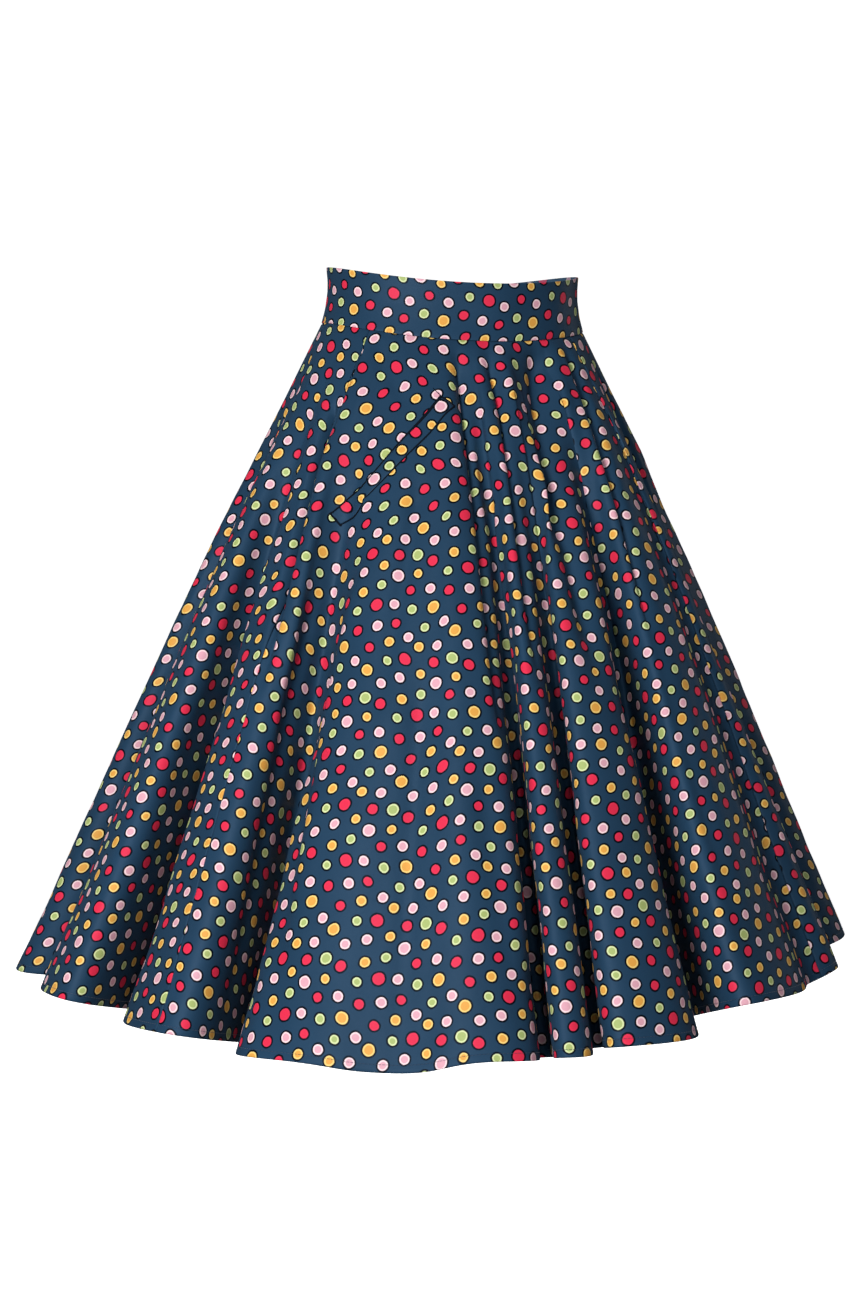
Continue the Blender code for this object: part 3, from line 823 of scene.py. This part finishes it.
def cloth_top(flat, down, lift=0.0):
    """A place on the cloth's right side, or off it by so much."""
    return creased_point(flat, down, CLOTH_THICKNESS / 2.0 + lift)


def stitches_from(name, bm):
    bmesh.ops.recalc_face_normals(bm, faces=bm.faces[:])
    item = link_piece(name, mesh_from(name, bm), [navy_thread])


def hem_stitches(name, first, last):
    bm = bmesh.new()
    down = 1.0 - STITCH_UP / SLANT
    flat = first + 0.1
    while flat < last - 0.3:
        degree = degree_length(flat, down)
        add_stitch(bm, cloth_top(flat, down), cloth_top(flat + STITCH_LENGTH / degree, down))
        flat += STITCH_PITCH / degree
    stitches_from(name, bm)


hem_stitches("front_hem_stitches", -SIDE_SEAM, SIDE_SEAM)
hem_stitches("left_hem_stitches", SIDE_SEAM, 180.0)
hem_stitches("right_hem_stitches", 180.0, 360.0 - SIDE_SEAM)


# The welt pocket on the wearer's right. A slanted mouth, closed below by a
# narrow folded welt of the print set flush with the front, its two short ends
# tacked down by machine. A plain cotton bag hangs from the mouth inside.

POCKET_UPPER = (-18.75, 0.0875)
POCKET_LOWER = (-49.0, 0.2690)
WELT_WIDTH = 0.0125
WELT_THICKNESS = 0.0008
WELT_COLUMNS = 64
WELT_ROWS = 10
WELT_SLACK = 0.0004
WELT_SINK = 0.0004
WELT_CROWN = 0.0007
WELT_ENDS = 0.02
WELT_PRINT = (0.031, 0.050)
SHADE_STRIP_LIFT = 0.00055
SHADE_STRIP_COLUMNS = 48
SHADE_STRIP_THICKNESS = 0.0001
# Narrow strips of painted shade, laid just above the front where the pocket's mouth and the seams round
# the welt lie in shadow
POCKET_SHADE_STRIPS = {
    # name: share and drop where it begins, and where it ends, its widths there, and its lift
    "pocket_mouth": ((-0.004, -0.0008), (1.0, -0.0003), (0.0028, 0.0012), SHADE_STRIP_LIFT),
    "welt_lower_seam": ((0.0, WELT_WIDTH + 0.0003), (1.0, WELT_WIDTH + 0.0003),
                        (0.0012, 0.0010), SHADE_STRIP_LIFT),
    "welt_upper_end": ((-0.002, -0.0010), (-0.002, WELT_WIDTH), (0.0011, 0.0010), SHADE_STRIP_LIFT),
    "welt_lower_end": ((1.0, -0.0016), (1.0, WELT_WIDTH + 0.0016), (0.0016, 0.0016), SHADE_STRIP_LIFT),
    "welt_seam_start": ((-0.004, -0.0120), (-0.004, -0.0010), (0.0005, 0.0007), 0.0004),
}
BAG_DEPTH = 0.130
BAG_INSET = 0.03
BAG_WIDE = 1.0 - 2.0 * BAG_INSET
BAG_SIDE_SHARE = 0.62
BAG_SLACK = 0.0016
BAG_SLACK_FROM = 0.04
BAG_COLUMNS = 40
BAG_ROWS = 36
BAG_BEARING = -45.0
BAG_LEAN = 0.06
BAG_SINK = 0.0026
BAG_THICKNESS = 0.0008
BAG_EDGE_ROUND = 0.0003
TACKS = 7
TACK_ENDS = (0.004, 0.996)
TACK_LIFT = 0.0003


def mouth_point(share, drop):
    """Flat bearing and share down of a place on the pocket.

    share runs from the mouth's upper end to its lower end, and drop is how
    far below the mouth's upper edge the place lies, in metres.
    """
    flat = POCKET_UPPER[0] + (POCKET_LOWER[0] - POCKET_UPPER[0]) * share
    down = POCKET_UPPER[1] + (POCKET_LOWER[1] - POCKET_UPPER[1]) * share
    run = (skirt_point(*POCKET_LOWER) - skirt_point(*POCKET_UPPER)).normalized()
    degree = skirt_point(flat + 0.5, down) - skirt_point(flat - 0.5, down)
    fall = (skirt_point(flat, down + 0.01) - skirt_point(flat, down)) / 0.01
    side = fall.normalized() - run * fall.normalized().dot(run)
    side.normalize()
    return (flat + side.dot(degree.normalized()) * drop / degree.length,
            down + side.dot(fall.normalized()) * drop / fall.length)


POCKET_LENGTH = (skirt_point(*POCKET_LOWER) - skirt_point(*POCKET_UPPER)).length


def turned_over(rows):
    """A grid's rows the other way round, so that its right side faces out."""
    return [line[::-1] for line in rows]


def pocket_welt():
    points = []
    coords = []
    for row in range(WELT_ROWS + 1):
        line = []
        for column in range(WELT_COLUMNS + 1):
            share = column / WELT_COLUMNS
            slack = WELT_SLACK * math.sin(math.pi * share) * (1.0 - row / WELT_ROWS)
            drop = WELT_WIDTH * row / WELT_ROWS
            flat, down = mouth_point(share, drop)
            rounding = math.sin(math.pi * min(max((row + 0.4) / (WELT_ROWS + 0.8), 0.0), 1.0)) ** 0.5
            tucked = min(min(share, 1.0 - share) / WELT_ENDS, 1.0) ** 0.5
            lift = -WELT_SINK + WELT_CROWN * rounding * (0.35 + 0.65 * tucked) + slack
            line.append(cloth_top(flat, down, lift))
        points.append(line)
        coords.append([(WELT_PRINT[0] + POCKET_LENGTH * column / WELT_COLUMNS,
                        WELT_PRINT[1] - WELT_WIDTH * row / WELT_ROWS)
                       for column in range(WELT_COLUMNS + 1)])
    item = cloth_piece("pocket_welt", turned_over(points), turned_over(coords), sateen_sides,
                       WELT_THICKNESS)


pocket_welt()


def pocketing_material():
    """Plain navy cotton with a visible plain weave."""
    material, tree, shader = new_material("navy_pocketing")
    place = cloth_place(tree)
    cloudy = noise_at(tree, place, 30.0, 3.0)
    colour = mix_colour(tree, cloudy, from_screen((22, 34, 54)), from_screen((32, 48, 72)))
    weave = maths(tree, "ADD", threads(tree, place, "X", 500.0, 0.8),
                  threads(tree, place, "Y", 500.0, 0.8))
    feed_node(tree, shader, {"Base Color": colour, "Roughness": 0.85, "Sheen Weight": 0.15,
                             "Normal": bump(tree, weave, 0.4, 0.0002)})
    return material


navy_pocketing = pocketing_material()


def painted_shade_material():
    """Painted shade, near black, for the shadow seen deep in the pocket's mouth and in the seams round
    the welt.
    """
    material, tree, shader = new_material("painted_shade")
    thready = noise_at(tree, cloth_place(tree), 1400.0)
    colour = mix_colour(tree, thready, from_screen((2, 5, 10)), from_screen((12, 20, 32)))
    feed_node(tree, shader, {"Base Color": colour, "Roughness": 0.9, "Specular IOR Level": 0.1,
                             "Normal": bump(tree, thready, 0.5, 0.0001)})
    return material


painted_shade = painted_shade_material()


def shade_strip(name, begin, end, widths, lift):
    """A narrow strip of painted shade between two places on the pocket, each a share and a drop."""
    points = []
    coords = []
    for row in range(3):
        line = []
        for column in range(SHADE_STRIP_COLUMNS + 1):
            along = 1.0 - column / SHADE_STRIP_COLUMNS
            width = widths[0] + (widths[1] - widths[0]) * along
            aside = width * (row - 1) / 2.0
            share = begin[0] + (end[0] - begin[0]) * along
            drop = begin[1] + (end[1] - begin[1]) * along
            if abs(end[0] - begin[0]) < abs(end[1] - begin[1]) / POCKET_LENGTH:
                share += aside / POCKET_LENGTH
            else:
                drop += aside
            line.append(cloth_top(*mouth_point(share, drop), lift))
        points.append(line)
        coords.append([(POCKET_LENGTH * column / SHADE_STRIP_COLUMNS, 0.001 * row)
                       for column in range(SHADE_STRIP_COLUMNS + 1)])
    mesh = cloth_grid(name, points, coords)
    across_way = (points[2][0] - points[0][0]).cross(points[0][1] - points[0][0])
    if across_way.dot(facing_out(*mouth_point(*begin))) < 0.0:
        mesh.flip_normals()
    item = link_piece(name, mesh, [painted_shade, painted_shade])
    add_thickness(item, SHADE_STRIP_THICKNESS)


# Each strip of painted shade in turn
for shade_strip_name, row in POCKET_SHADE_STRIPS.items():
    shade_strip(shade_strip_name, *row)


def pocket_bag():
    points = []
    coords = []
    for row in range(BAG_ROWS + 1):
        line = []
        for column in range(BAG_COLUMNS, -1, -1):
            across = column / BAG_COLUMNS
            rounding = math.sqrt(max(1.0 - (2.0 * across - 1.0) ** 2, 0.0))
            drop = BAG_DEPTH * (BAG_SIDE_SHARE + (1.0 - BAG_SIDE_SHARE) * rounding) * row / BAG_ROWS
            flat, down = mouth_point(BAG_INSET + BAG_WIDE * across, 0.0)
            top = skirt_point(flat, down) - facing_out(flat, down) * BAG_SINK
            hung = top + Vector((0.0, 0.0, -drop)) - around(BAG_BEARING, BAG_LEAN * drop)
            slack = BAG_SLACK * (math.sin(across * 9.0 + drop * 20.0) - 1.0)
            line.append(hung + around(BAG_BEARING, slack * min(drop / BAG_SLACK_FROM, 1.0)))
        points.append(line)
        coords.append([(POCKET_LENGTH * column / BAG_COLUMNS, -BAG_DEPTH * row / BAG_ROWS)
                       for column in range(BAG_COLUMNS, -1, -1)])
    item = cloth_piece("pocket_bag", points, coords, [navy_pocketing, navy_pocketing],
                       BAG_THICKNESS, BAG_EDGE_ROUND)
    run = skirt_point(*POCKET_LOWER) - skirt_point(*POCKET_UPPER)


pocket_bag()


def welt_tacks():
    """The short rows of stitches across the welt's two ends."""
    bm = bmesh.new()
    for share in TACK_ENDS:
        for tack in range(TACKS):
            drop = WELT_WIDTH * (tack + 0.25) / TACKS
            begin = cloth_top(*mouth_point(share, drop), TACK_LIFT)
            end = cloth_top(*mouth_point(share, drop + 0.7 * WELT_WIDTH / TACKS), TACK_LIFT)
            add_stitch(bm, begin, end)
    stitches_from("welt_tacks", bm)


welt_tacks()


# The concealed zip at the centre back: two woven tapes inside, a fine coil
# between them, and a slider whose tab hangs outside just under the top edge.

ZIP_TOP = 0.004
ZIP_LENGTH = 0.200
ZIP_HALF_GAP = 0.0009
TAPE_WIDTH = 0.011
TAPE_THICKNESS = 0.0005
TAPE_DEPTH = 0.0020
TAPE_ROWS = 80
TAPE_COLUMNS = 8
COIL_PITCH = 0.0013
COIL_RADIUS = 0.00090
COIL_WIRE = 0.00020
COIL_DEPTH = 0.0030
COIL_SIDE = 0.00085
COIL_END = 0.001
COIL_FLATTENED = (0.85, 0.7)
COIL_STEPS = 8


def back_surface(across, down):
    """Place on the cloth beside the centre back: metres to the wearer's left, and down."""
    if down <= BAND_HEIGHT:
        radian = (band_point(math.pi + 0.05, down) - band_point(math.pi - 0.05, down)).length / 0.1
        return band_point(math.pi - across / radian, down)
    share = (down - BAND_HEIGHT) / SLANT
    degree = (skirt_point(181.0, share) - skirt_point(179.0, share)).length / 2.0
    return skirt_point(180.0 - across / degree, share)


def behind_back(across, down, depth):
    """Place so far inside the cloth beside the centre back."""
    step = 0.004
    run = back_surface(across + step, down) - back_surface(across - step, down)
    fall = back_surface(across, down + step) - back_surface(across, down - step)
    inward = run.cross(fall).normalized()
    if inward.y > 0.0:
        inward = -inward
    return back_surface(across, down) + inward * depth


def tape_material():
    """Woven polyester tape, ribbed along its length."""
    material, tree, shader = new_material("navy_zip_tape")
    place = cloth_place(tree)
    rib = threads(tree, place, "X", 420.0, 0.3)
    pick = threads(tree, place, "Y", 640.0, 0.3)
    both = maths(tree, "MULTIPLY_ADD", rib, 0.7, maths(tree, "MULTIPLY", pick, 0.3))
    colour = mix_colour(tree, both, from_screen((16, 28, 46)), from_screen((30, 48, 72)))
    feed_node(tree, shader, {"Base Color": colour, "Roughness": 0.7,
                             "Normal": bump(tree, both, 0.5, 0.0002)})
    return material


navy_tape = tape_material()


def zip_tape(node, side):
    points = []
    coords = []
    for row in range(TAPE_ROWS + 1):
        down = ZIP_TOP + ZIP_LENGTH * row / TAPE_ROWS
        line = []
        for column in range(TAPE_COLUMNS + 1):
            across = side * (ZIP_HALF_GAP + TAPE_WIDTH * column / TAPE_COLUMNS)
            line.append(behind_back(across, down, TAPE_DEPTH))
        points.append(line)
        coords.append([(TAPE_WIDTH * column / TAPE_COLUMNS, -down)
                       for column in range(TAPE_COLUMNS + 1)])
    if side > 0.0:
        points = turned_over(points)
        coords = turned_over(coords)
    item = cloth_piece(node, points, coords, [navy_tape, navy_tape], TAPE_THICKNESS)


zip_tape("zip_tape_left", 1.0)
zip_tape("zip_tape_right", -1.0)


def coil_material():
    material, tree, shader = new_material("navy_coil")
    uneven = noise_at(tree, object_place(tree), 500.0)
    colour = mix_colour(tree, uneven, from_screen((14, 24, 40)), from_screen((24, 38, 58)))
    feed_node(tree, shader, {"Base Color": colour, "Roughness": 0.32})
    return material


def zip_coil(name, side, material):
    """One row of the coil: a wound filament laid along the tape's inner edge."""
    turns = round((ZIP_LENGTH - 2.0 * COIL_END) / COIL_PITCH)
    bm = bmesh.new()
    wire = bmesh.ops.create_circle(bm, segments=5, radius=COIL_WIRE)["verts"]
    bmesh.ops.rotate(bm, verts=wire, matrix=Matrix.Rotation(math.pi / 2.0, 3, "X"))
    bmesh.ops.translate(bm, verts=wire, vec=(side * COIL_RADIUS, 0.0, 0.0))
    bmesh.ops.spin(bm, geom=bm.edges[:] + wire, cent=(0.0, 0.0, 0.0), axis=(0.0, 0.0, 1.0),
                   dvec=(0.0, 0.0, COIL_PITCH / COIL_STEPS), angle=side * 2.0 * math.pi * turns,
                   steps=turns * COIL_STEPS)
    for vert in bm.verts:
        x, y, z = vert.co
        # The two rows' turns lie between each other's
        down = ZIP_TOP + COIL_END + z + (0.5 * COIL_PITCH if side < 0.0 else 0.0)
        vert.co = behind_back(side * COIL_SIDE + x * COIL_FLATTENED[0], down,
                              COIL_DEPTH + y * COIL_FLATTENED[1])
    bmesh.ops.recalc_face_normals(bm, faces=bm.faces[:])
    for face in bm.faces:
        face.smooth = True
    item = link_piece(name, mesh_from(name, bm), [material])


navy_coil = coil_material()
zip_coil("zip_coil_left", 1.0, navy_coil)
zip_coil("zip_coil_right", -1.0, navy_coil)


def enamel_material():
    """Baked navy enamel on the slider and tab, rubbed thin in small spots."""
    material, tree, shader = new_material("navy_enamel")
    worn = noise_at(tree, object_place(tree), 700.0, 4.0)
    colour = mix_colour(tree, fade(tree, worn, 0.62, 0.74), from_screen((20, 40, 64)),
                        from_screen((74, 90, 108)))
    rough = maths(tree, "MULTIPLY_ADD", worn, 0.2, 0.22)
    feed_node(tree, shader, {"Base Color": colour, "Roughness": rough, "Metallic": 0.45,
                             "Normal": bump(tree, worn, 0.15, 0.0001)})
    return material


navy_enamel = enamel_material()
for node_name in ("zip_slider", "pull_tab"):
    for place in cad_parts[node_name].material_slots:
        place.material = navy_enamel


# The studio, which is no part of the skirt: a pale paper floor that rises into a
# wall all round, and plain soft lights. The camera stands at the photograph's
# angle, and its focal length is worked out in pixels of the photograph.

FLOOR_HEIGHT = -1.04
STUDIO_RADIUS = 5.2
STUDIO_MIDDLE = 1.5
STUDIO_BEND = 2.4
STUDIO_BEND_STEPS = 12
STUDIO_HEIGHT = 7.0
STUDIO_SIDES = 72
PAPER_COLOUR = (0.90, 0.90, 0.91, 1.0)
SKIRT_MIDDLE = Vector((0.0, 0.0, -0.35))
LIGHTS = [
    # name, bearing, reach, height, size, power
    ("key", -40.0, 2.7, 0.1, 1.2, 80.0),
    ("front", -4.0, 3.2, 0.3, 1.6, 23.0),
    ("side", 126.0, 3.2, 0.3, 1.6, 7.0),
    ("back", 165.0, 3.0, 1.0, 1.8, 60.0),
]
SKY_COLOUR = (0.92, 0.95, 1.0, 1.0)
SKY_STRENGTH = 0.16
CAMERA_BEARING = math.radians(-15.0)
CAMERA_DISTANCE = 2.4
CAMERA_HEIGHT = -0.3555
CAMERA_SIDEWAYS = -0.0203
SENSOR_SIZE = 36.0
FOCAL_PIXELS = 2544.0
PHOTO_PIXELS_HIGH = 1303.0


def pale_studio():
    """A round paper floor that curves up into a wall all round."""
    bm = bmesh.new()
    outline = [Vector((0.0, 0.0, FLOOR_HEIGHT)), Vector((STUDIO_MIDDLE, 0.0, FLOOR_HEIGHT)),
               Vector((STUDIO_RADIUS, 0.0, FLOOR_HEIGHT))]
    for step in range(1, STUDIO_BEND_STEPS + 1):
        turn = math.radians(90.0) * step / STUDIO_BEND_STEPS
        outline.append(Vector((STUDIO_RADIUS + STUDIO_BEND * math.sin(turn), 0.0,
                               FLOOR_HEIGHT + STUDIO_BEND * (1.0 - math.cos(turn)))))
    outline.append(outline[-1] + Vector((0.0, 0.0, STUDIO_HEIGHT)))
    verts = [bm.verts.new(point) for point in outline]
    edges = [bm.edges.new(pair) for pair in zip(verts, verts[1:])]
    bmesh.ops.spin(bm, geom=verts + edges, cent=(0.0, 0.0, 0.0), axis=(0.0, 0.0, 1.0),
                   angle=2.0 * math.pi, steps=STUDIO_SIDES, use_merge=True)
    bmesh.ops.remove_doubles(bm, verts=bm.verts[:], dist=0.0001)
    bmesh.ops.recalc_face_normals(bm, faces=bm.faces[:])
    if min(bm.faces, key=lambda face: face.calc_center_median().xy.length).normal.z < 0.0:
        bmesh.ops.reverse_faces(bm, faces=bm.faces[:])
    for face in bm.faces:
        face.smooth = True
    mesh = mesh_from("studio", bm)
    material, tree, shader = new_material("pale_paper")
    feed_node(tree, shader, {"Base Color": PAPER_COLOUR, "Roughness": 0.9,
                             "Emission Color": (1.0, 1.0, 1.0, 1.0), "Emission Strength": 0.86})
    mesh.materials.append(material)
    item = bpy.data.objects.new("studio", mesh)
    # The paper is lit apart from the skirt, and throws no light back on it
    item.visible_diffuse = False
    item.visible_glossy = False
    item.visible_shadow = False
    bpy.context.scene.collection.objects.link(item)


pale_studio()


def soft_light(name, bearing, reach, height, size, power):
    """A round soft light at a bearing from the skirt's front, turned to its middle."""
    data = bpy.data.lights.new(name, "AREA")
    data.shape = "DISK"
    data.size = size
    data.energy = power
    item = bpy.data.objects.new(name, data)
    item.location = around(bearing, reach, height)
    item.rotation_mode = "QUATERNION"
    item.rotation_quaternion = (SKIRT_MIDDLE - item.location).to_track_quat("-Z", "Y")
    item.visible_camera = False
    bpy.context.scene.collection.objects.link(item)


for light in LIGHTS:
    soft_light(*light)
world = bpy.data.worlds.new("studio")
world.use_nodes = True
feed_node(world.node_tree, world.node_tree.nodes["Background"], {0: SKY_COLOUR, 1: SKY_STRENGTH})
bpy.context.scene.world = world
bpy.context.scene.view_settings.view_transform = "Standard"

across = Vector((math.cos(CAMERA_BEARING), math.sin(CAMERA_BEARING), 0.0))
behind = Vector((math.sin(CAMERA_BEARING), -math.cos(CAMERA_BEARING), 0.0))
camera_data = bpy.data.cameras.new("camera")
camera_data.lens = SENSOR_SIZE * FOCAL_PIXELS / PHOTO_PIXELS_HIGH
camera_data.sensor_width = SENSOR_SIZE
camera = bpy.data.objects.new("camera", camera_data)
camera.location = behind * CAMERA_DISTANCE + across * CAMERA_SIDEWAYS + Vector((0, 0, CAMERA_HEIGHT))
camera.rotation_mode = "QUATERNION"
camera.rotation_quaternion = (-behind).to_track_quat("-Z", "Y")
bpy.context.scene.collection.objects.link(camera)
bpy.context.scene.camera = camera
